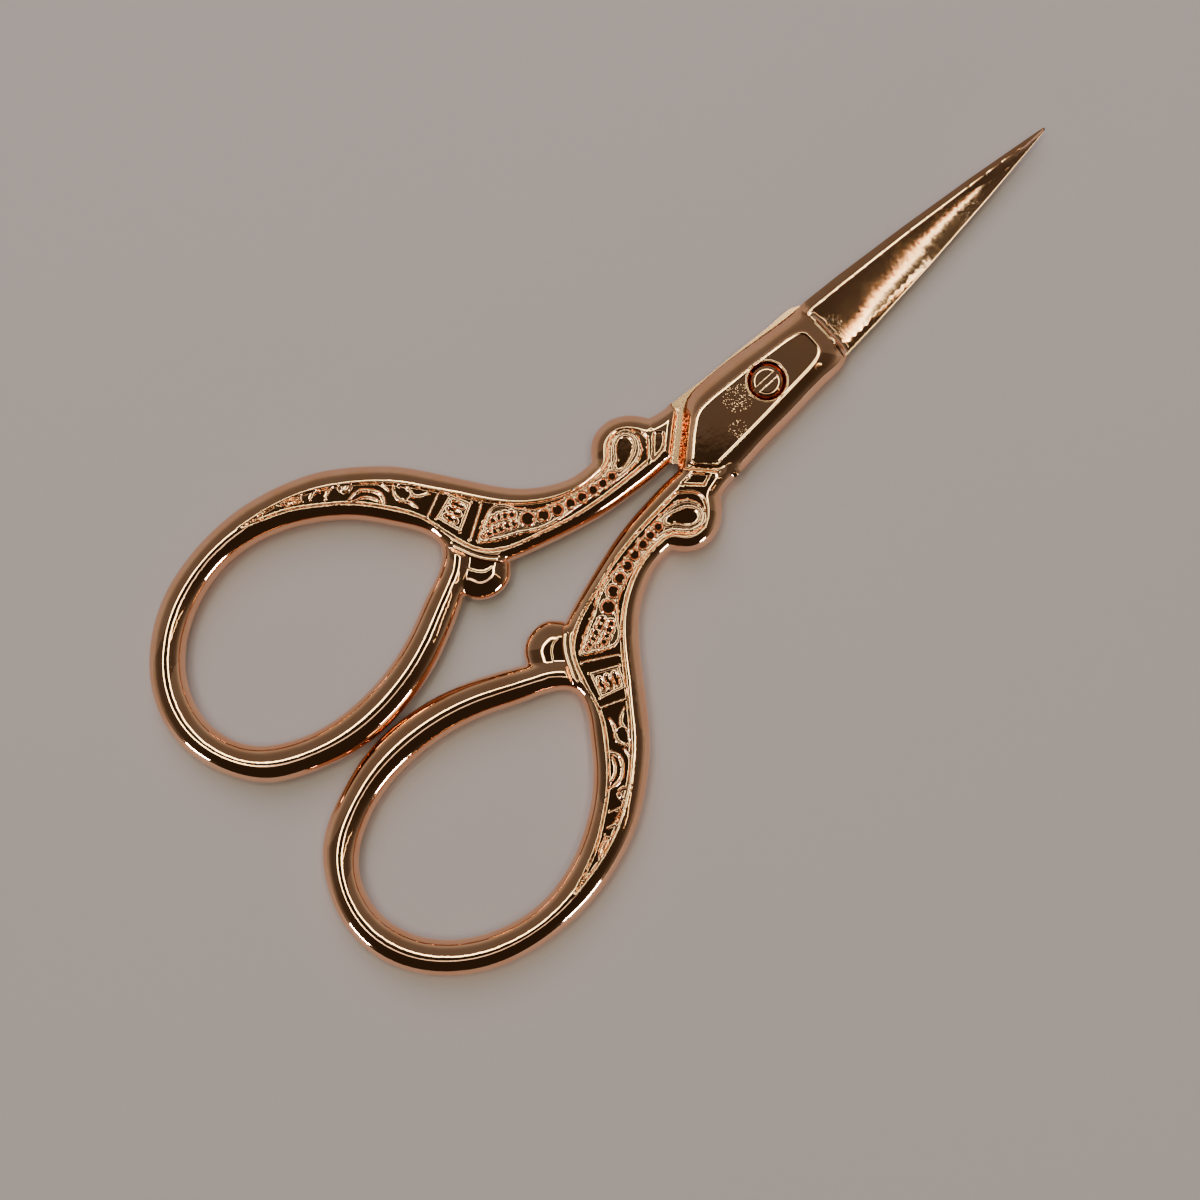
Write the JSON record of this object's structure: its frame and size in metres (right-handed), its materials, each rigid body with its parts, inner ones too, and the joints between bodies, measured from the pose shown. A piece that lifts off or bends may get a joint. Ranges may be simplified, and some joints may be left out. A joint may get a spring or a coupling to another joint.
{
  "type": "embroidery scissors",
  "caption": "Small all-metal embroidery scissors with slim spear blades, a screw pivot and two oval finger bows joined by arms with raised relief.",
  "frame": {"origin": "on the pivot screw's axis, at the screw's flush tail end in the plane of the back face that the closed scissors lie on", "axes": "+Y towards the blade tips, +Z out of the face that shows the screw head, +X towards the front half's finger bow"},
  "size_m": [0.052, 0.1028, 0.0036],
  "materials": {
    "rose_gold_plated_steel": "polished copper-pink plating",
    "rose_gold_plated_screw": "polished copper-pink plating"
  },
  "bodies": {
    "rear": {"rear_half": "rose_gold_plated_steel", "pivot_screw": "rose_gold_plated_screw"},
    "front": {"front_half": "rose_gold_plated_steel"}
  },
  "joints": [
    {"name": "pivot", "type": "hinge", "parent": "rear", "child": "front", "pos_m": [0, 0, 0], "axis": [0, 0, 1], "range_deg": [0, 129]}
  ]
}
